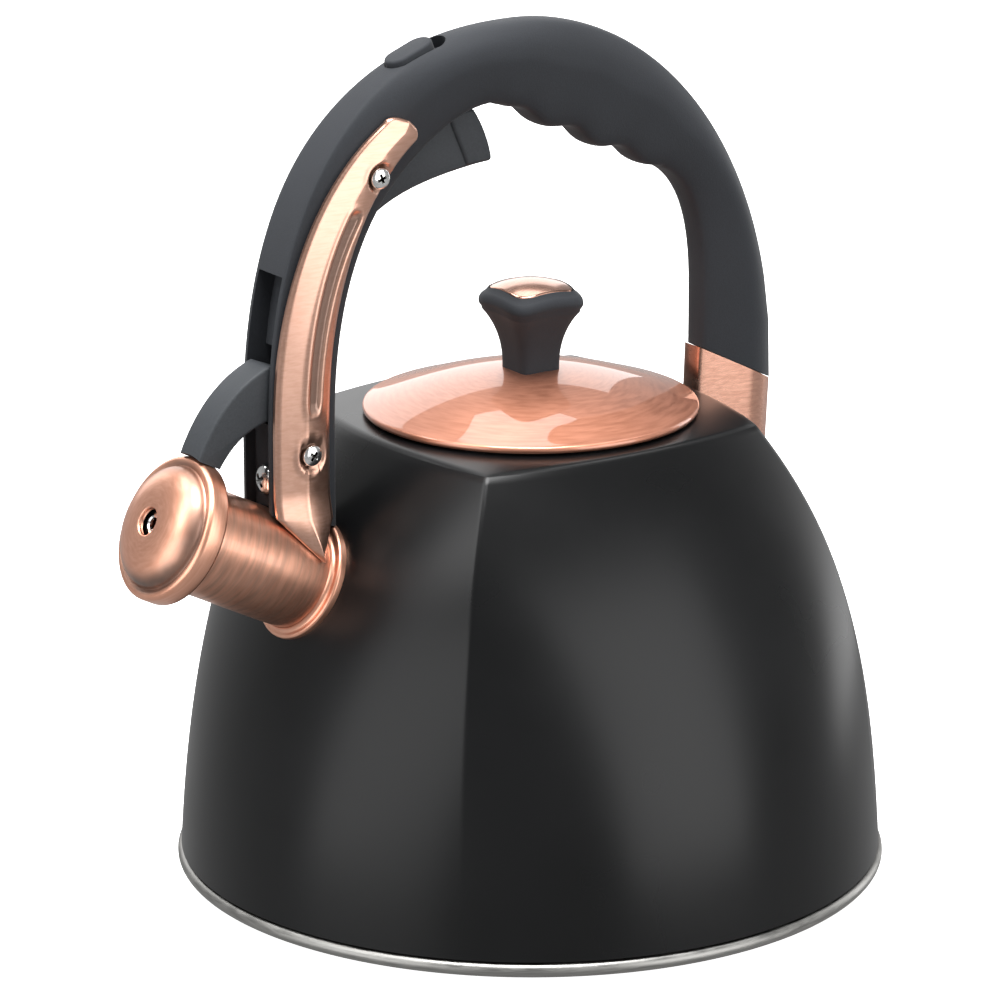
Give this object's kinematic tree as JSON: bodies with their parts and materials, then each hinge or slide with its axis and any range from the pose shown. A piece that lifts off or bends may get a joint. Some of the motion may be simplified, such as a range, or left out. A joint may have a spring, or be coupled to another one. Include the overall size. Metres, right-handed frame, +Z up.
{
  "type": "whistling kettle",
  "caption": "Stovetop kettle with a squared shoulder, an arched handle over a domed lid, and a squeeze trigger that swings a whistling cap off its spout.",
  "frame": {"origin": "centre of the flat base, on the surface that the kettle stands on", "axes": "+Z up; -X towards the spout; the handle arches over the lid in the XZ plane"},
  "size_m": [0.2385, 0.21, 0.2526],
  "materials": {
    "black_enamel": "satin black coat, softly reflective",
    "brushed_steel": "satin, turned",
    "aluminium": "plain pressed",
    "lid_copper": "copper plated, brushed in circles and lacquered glossy",
    "spout_copper": "antique copper, brushed round the tube",
    "cap_copper": "antique copper, satin, darkened in its step",
    "plate_copper": "antique copper, brushed across",
    "knob_copper": "satin copper",
    "soft_black": "soft-touch, fine grain",
    "hard_black": "moulded, fine grain",
    "bright_steel": "bright",
    "grey_silicone": "matt"
  },
  "bodies": {
    "kettle": {"body_shell": "black_enamel", "base_pan": "brushed_steel", "heat_spreader": "aluminium", "base_cap": "brushed_steel", "spout_tube": "spout_copper", "spout_collar": "spout_copper", "handle_grip": "soft_black", "side_plate_right": "plate_copper", "side_plate_left": "plate_copper", "plate_screw_right_upper": "bright_steel", "plate_screw_right_lower": "bright_steel", "plate_screw_left_upper": "bright_steel", "plate_screw_left_lower": "bright_steel", "leg_screw": "bright_steel", "rear_screw": "bright_steel", "front_bracket": "brushed_steel", "rear_strap": "plate_copper", "rear_tongue": "brushed_steel", "trigger_sleeve": "bright_steel", "lever_pin": "bright_steel", "lever_spring": "bright_steel"},
    "lid": {"lid_shell": "lid_copper", "lid_skirt": "brushed_steel", "knob_body": "soft_black", "knob_inlay": "knob_copper", "knob_washer": "bright_steel", "knob_screw": "bright_steel"},
    "whistle_lever": {"lever_arm": "hard_black", "cap_shell": "cap_copper", "cap_seal": "grey_silicone", "cap_rivet": "bright_steel", "whistle_rear_disc": "bright_steel", "whistle_front_disc": "bright_steel"},
    "trigger": {"trigger": "soft_black"},
    "push_rod": {"push_rod": "hard_black"},
    "lock_button": {"lock_button": "soft_black"}
  },
  "joints": [
    {"name": "lever_swing", "type": "hinge", "parent": "kettle", "child": "whistle_lever", "pos_m": [-0.085, 0, 0.157], "axis": [0, 1, 0], "range_deg": [0, 40], "stiffness_Nm_per_rad": 0.08, "springref_deg": -34.38},
    {"name": "trigger_squeeze", "type": "hinge", "parent": "kettle", "child": "trigger", "pos_m": [-0.0585, 0, 0.215], "axis": [0, -1, 0], "range_deg": [0, 14]},
    {"name": "rod_push", "type": "slide", "parent": "kettle", "child": "push_rod", "axis": [-0.0645, 0, -0.9979], "range_m": [0, 0.0044]},
    {"name": "button_slide", "type": "slide", "parent": "kettle", "child": "lock_button", "axis": [0.9255, 0, 0.3787], "range_m": [0, 0.004]},
    {"name": "lid_lift", "type": "slide", "parent": "kettle", "child": "lid", "axis": [0, 0, 1], "range_m": [0, 0.036]}
  ],
  "couplings": [
    {"joint": "trigger_squeeze", "follows": "lever_swing", "ratio": 0.35},
    {"joint": "rod_push", "follows": "lever_swing", "m_per_rad": 0.0063025}
  ]
}
